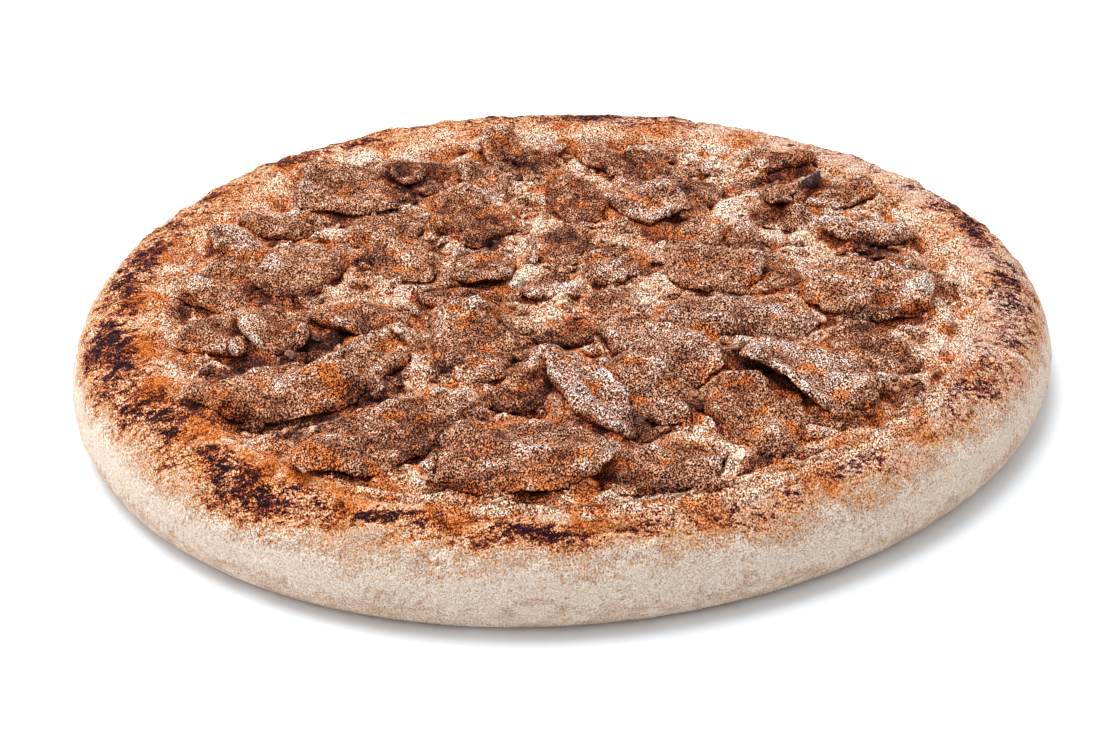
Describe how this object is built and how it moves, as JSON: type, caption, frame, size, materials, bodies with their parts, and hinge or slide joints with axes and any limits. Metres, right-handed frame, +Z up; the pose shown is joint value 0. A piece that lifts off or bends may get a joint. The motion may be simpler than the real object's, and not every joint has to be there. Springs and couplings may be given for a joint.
{
  "type": "kebab pizza",
  "caption": "Whole baked pizza with a thick rounded rim and a flat base, its hollow filled with tomato sauce and cheese under ragged slices of roast kebab meat.",
  "frame": {"origin": "middle of the bounding box at the height of the flat underside", "axes": "+Z up through the pizza, its shortest extent; -Y towards the side that the picture shows in front; +X to the right in the picture"},
  "size_m": [0.2626, 0.2588, 0.0309],
  "materials": {
    "crust": "dry baked dough, pale cream at the side, toasted orange to dark brown in blotches on the rim",
    "cheese_sauce": "baked grated cheese over tomato sauce, cream to orange, slightly oily",
    "kebab_meat": "roast minced meat, grey brown, grainy, with pale specks",
    "charred_meat": "burnt meat, nearly black, dry"
  },
  "bodies": {
    "root": {"crust": "crust", "cheese_sauce_bed": "cheese_sauce", "back_grey": "kebab_meat", "back_leaf": "kebab_meat", "back_right_hump": "kebab_meat", "back_right_flat": "kebab_meat", "back_right_frosted": "kebab_meat", "back_right_upright": "kebab_meat", "back_brown": "kebab_meat", "back_narrow": "kebab_meat", "back_middle": "kebab_meat", "back_right_inner": "kebab_meat", "back_left_far": "kebab_meat", "back_left_near": "kebab_meat", "right_far": "kebab_meat", "right_ridge": "kebab_meat", "right_back": "kebab_meat", "right_edge": "kebab_meat", "right_small": "kebab_meat", "right_notch": "kebab_meat", "front_right_behind": "kebab_meat", "front_right_edge": "kebab_meat", "front_right_small": "kebab_meat", "left_dark": "kebab_meat", "left_far": "kebab_meat", "left_curl": "kebab_meat", "left_near": "kebab_meat", "middle_back": "kebab_meat", "middle_hole_edge": "kebab_meat", "middle_bit": "kebab_meat", "middle_right": "kebab_meat", "middle_orange": "kebab_meat", "middle_block": "kebab_meat", "back_pink": "kebab_meat", "back_broad": "kebab_meat", "back_curl": "kebab_meat", "back_strip": "kebab_meat", "back_slab": "kebab_meat", "back_round": "kebab_meat", "middle_square": "kebab_meat", "right_pale": "kebab_meat", "right_broad": "kebab_meat", "right_wing": "kebab_meat", "middle_long": "kebab_meat", "left_tan_back": "kebab_meat", "left_tan_front": "kebab_meat", "left_grey": "kebab_meat", "left_inner": "kebab_meat", "front_left_strip": "kebab_meat", "middle_broad": "kebab_meat", "front_left_broad": "kebab_meat", "front_left_low": "kebab_meat", "front_right_low": "kebab_meat", "front_broad": "kebab_meat", "front_lobe": "kebab_meat", "front_mate": "kebab_meat", "front_tongue": "kebab_meat", "front_right_tapered": "kebab_meat", "front_right_broad": "kebab_meat", "charred_flake": "charred_meat"}
  },
  "joints": []
}
